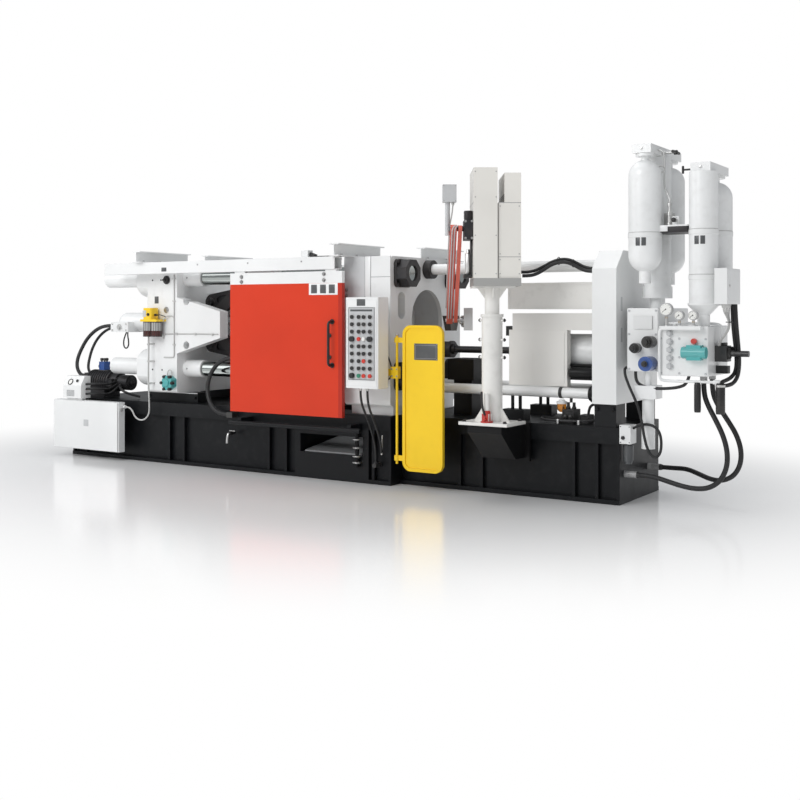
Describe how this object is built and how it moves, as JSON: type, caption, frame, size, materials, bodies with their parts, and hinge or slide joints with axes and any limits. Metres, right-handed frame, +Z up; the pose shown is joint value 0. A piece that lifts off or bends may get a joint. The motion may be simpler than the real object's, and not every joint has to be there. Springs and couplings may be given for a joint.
{
  "type": "die casting machine",
  "caption": "Horizontal cold-chamber die casting machine with toggle clamp, tie bars, sliding safety door, ladling arm and injection end with gas bottles.",
  "frame": {"origin": "on the floor under the base, on the middle plane of the tie bars, at the middle of the base's length", "axes": "+X along the machine towards the injection end, +Y to the far side, +Z up"},
  "size_m": [7.2743, 1.8342, 2.7833],
  "materials": {
    "white_paint": "satin gloss machine enamel",
    "black_paint": "satin black slate enamel",
    "orange_paint": "gloss orange red enamel",
    "yellow_paint": "gloss yellow enamel",
    "cream_paint": "light cream powder coat",
    "red_paint": "red enamel",
    "chrome_bar": "hard chrome",
    "machined_steel": "machined steel",
    "dark_steel": "blackened steel",
    "grey_metal": "grey paint",
    "rubber_hose": "matt black hose",
    "grey_cable": "grey sheath",
    "black_plastic": "matt black moulding",
    "teal_paint": "teal valve body",
    "gauge_face": "gauge",
    "yellow_plastic": "yellow moulding"
  },
  "bodies": {
    "machine": {"accumulators": "white_paint", "base_bay": "black_paint", "base_frame": "black_paint", "base_pads": "black_paint", "cabinet_cable": "grey_cable", "clamp_cylinder": "white_paint", "clamp_hose_a": "rubber_hose", "clamp_hose_b": "rubber_hose", "control_cabinet": "white_paint", "cooling_hose": "rubber_hose", "crosshead": "machined_steel", "die_chute": "grey_metal", "door_guide": "black_paint", "door_rails": "white_paint", "fixed_platen": "white_paint", "gas_bottles": "white_paint", "guard_post": "yellow_paint", "hydraulic_valves": "teal_paint", "injection_covers": "white_paint", "injection_cylinder": "white_paint", "injection_frame": "white_paint", "ladle_column": "white_paint", "ladle_drive": "dark_steel", "ladle_hose": "rubber_hose", "ladle_housing": "cream_paint", "ladle_seat": "black_paint", "lubricator": "yellow_plastic", "manifold_block": "white_paint", "moving_platen": "white_paint", "operator_panel": "white_paint", "panel_cable_a": "rubber_hose", "panel_controls": "black_plastic", "platen_cover": "white_paint", "pressure_gauges": "gauge_face", "pump_group": "dark_steel", "rail_beams": "white_paint", "rear_door": "white_paint", "rear_platen": "white_paint", "remote_unit": "white_paint", "return_hose_a": "rubber_hose", "return_hose_b": "rubber_hose", "shot_sleeve": "dark_steel", "sleeve_tray": "black_paint", "terminal_boxes": "white_paint", "tie_bar_covers": "white_paint", "tie_bar_nuts": "dark_steel", "tie_bars": "chrome_bar", "tie_tubes": "white_paint", "toggle_links": "dark_steel", "toggle_pins": "machined_steel"},
    "sliding_door": {"door_panel": "orange_paint", "door_hanger": "white_paint", "door_handle": "black_plastic"},
    "guard": {"splash_guard": "yellow_paint"},
    "arm": {"ladle_arm": "red_paint", "level_probe": "grey_metal"},
    "link": {"ladle_link": "red_paint"},
    "head": {"ladle_head": "grey_metal"},
    "cup": {"ladle_cup": "dark_steel"},
    "plunger_body": {"plunger": "machined_steel"}
  },
  "joints": [
    {"name": "door_slide", "type": "slide", "parent": "machine", "child": "sliding_door", "axis": [-1, 0, 0], "range_m": [0, 1.05]},
    {"name": "guard_swing", "type": "hinge", "parent": "machine", "child": "guard", "pos_m": [1.101, -0.68, 0.8], "axis": [0, 0, -1], "range_deg": [0, 90]},
    {"name": "arm_swing", "type": "hinge", "parent": "machine", "child": "arm", "pos_m": [1.78669, -0.90848, 2.166], "axis": [-0.8415, -0.5402, 0], "range_deg": [0, 86]},
    {"name": "link_swing", "type": "hinge", "parent": "machine", "child": "link", "pos_m": [1.87115, -0.94933, 2.166], "axis": [-0.8415, -0.5402, 0], "range_deg": [0, 86]},
    {"name": "head_level", "type": "hinge", "parent": "arm", "child": "head", "pos_m": [1.38749, -0.28667, 1.42707], "axis": [-0.8415, -0.5402, 0], "range_deg": [-86, 0]},
    {"name": "cup_tilt", "type": "hinge", "parent": "head", "child": "cup", "pos_m": [1.27263, -0.06333, 1.42707], "axis": [-0.8415, -0.5402, 0], "range_deg": [0, 70]},
    {"name": "plunger_slide", "type": "slide", "parent": "machine", "child": "plunger_body", "axis": [-1, 0, 0], "range_m": [0, 0.52]}
  ],
  "couplings": [
    {"joint": "link_swing", "follows": "arm_swing", "ratio": 1},
    {"joint": "head_level", "follows": "arm_swing", "ratio": -1}
  ]
}
